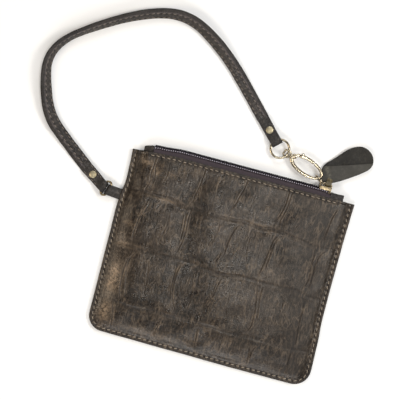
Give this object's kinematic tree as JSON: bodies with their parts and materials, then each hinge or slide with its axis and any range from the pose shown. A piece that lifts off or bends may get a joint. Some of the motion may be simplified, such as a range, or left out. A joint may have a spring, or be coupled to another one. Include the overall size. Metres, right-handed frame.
{
  "type": "wristlet wallet",
  "caption": "Flat zipped leather wristlet pouch with a stitched edge, a leaf shaped zip pull, and a riveted wrist strap clipped to the zip slider by a swivel clasp.",
  "frame": {"origin": "middle of the pouch's flat back face, on the surface it lies on", "axes": "+X along the zip towards its closed end, +Y towards the zip, +Z out of the decorated front"},
  "size_m": [0.2661, 0.2551, 0.0107],
  "materials": {
    "croc_leather": "glossy crocodile-embossed leather, dark brown",
    "strap_leather": "semi-gloss fine-grained leather, dark brown",
    "leaf_dark_leather": "dark textured leather",
    "leaf_grey_leather": "smooth grey-green leather",
    "lining": "woven black lining cloth",
    "zip_tape": "woven purple-brown zip tape",
    "zip_coil": "dark nylon coil",
    "hardware": "polished pale antique gold plating",
    "spring_steel": "drawn spring wire",
    "thread": "waxed brown thread"
  },
  "bodies": {
    "root": {"back_panel": "croc_leather", "back_lining": "lining", "front_panel": "croc_leather", "front_lining": "lining", "seam_thread": "thread", "zip_edge_thread": "thread", "zip_tape_front": "zip_tape", "zip_tape_back": "zip_tape", "zip_coil_front": "zip_coil", "zip_coil_back": "zip_coil", "zip_tab_left": "strap_leather", "zip_tab_right": "strap_leather", "side_tab": "strap_leather", "strap_loop_left": "strap_leather", "rivet_left": "hardware", "wrist_strap": "strap_leather"},
    "side_ring": {"side_ring": "hardware"},
    "slider": {"slider": "hardware"},
    "pull_ring": {"pull_ring": "hardware"},
    "leaf": {"leaf_back": "leaf_dark_leather", "leaf_front": "leaf_grey_leather", "leaf_loop": "leaf_grey_leather"},
    "strap_end": {"strap_loop_right": "strap_leather", "rivet_right": "hardware"},
    "o_ring": {"o_ring": "hardware"},
    "swivel": {"swivel_eye": "hardware"},
    "clasp": {"clasp_frame": "hardware", "gate_pin": "hardware", "gate_spring": "spring_steel"},
    "gate": {"clasp_gate": "hardware"}
  },
  "joints": [
    {"name": "zip_slide", "type": "slide", "parent": "root", "child": "slider", "axis": [-1, 0, 0], "range_m": [0, 0.118]},
    {"name": "strap_end_slide", "type": "slide", "parent": "root", "child": "strap_end", "axis": [-1, 0, 0], "range_m": [0, 0.118], "deforming": ["wrist_strap"]},
    {"name": "pull_ring_turn", "type": "hinge", "parent": "slider", "child": "pull_ring", "pos_m": [0.0606, 0.0808, 0.0054], "axis": [0, 0, 1], "range_deg": [-12, 3]},
    {"name": "leaf_lift", "type": "hinge", "parent": "slider", "child": "leaf", "pos_m": [0.0637, 0.08235, 0.004], "axis": [1, 0, 0], "range_deg": [0, 85]},
    {"name": "o_ring_swing", "type": "hinge", "parent": "strap_end", "child": "o_ring", "pos_m": [0.01632, 0.10404, 0.00245], "axis": [-0.7254, -0.6884, 0], "range_deg": [0, 2]},
    {"name": "swivel_swing", "type": "hinge", "parent": "o_ring", "child": "swivel", "pos_m": [0.02787, 0.09654, 0.0036], "axis": [-0.333, -0.9429, 0], "range_deg": [0, 3]},
    {"name": "clasp_spin", "type": "hinge", "parent": "swivel", "child": "clasp", "pos_m": [0.03063, 0.09557, 0.0036], "axis": [0.9429, -0.333, 0], "range_deg": [-12, 6]},
    {"name": "gate_pivot", "type": "hinge", "parent": "clasp", "child": "gate", "pos_m": [0.03361, 0.09621, 0.0036], "axis": [0, 0, -1], "range_deg": [0, 22], "stiffness_Nm_per_rad": 0.002, "springref_deg": -8.59},
    {"name": "side_ring_swing", "type": "hinge", "parent": "root", "child": "side_ring", "pos_m": [-0.09731, 0.03459, 0.0025], "axis": [0.309, 0.9511, 0], "range_deg": [-4, 4]}
  ],
  "couplings": [
    {"joint": "strap_end_slide", "follows": "zip_slide", "ratio": 1}
  ]
}
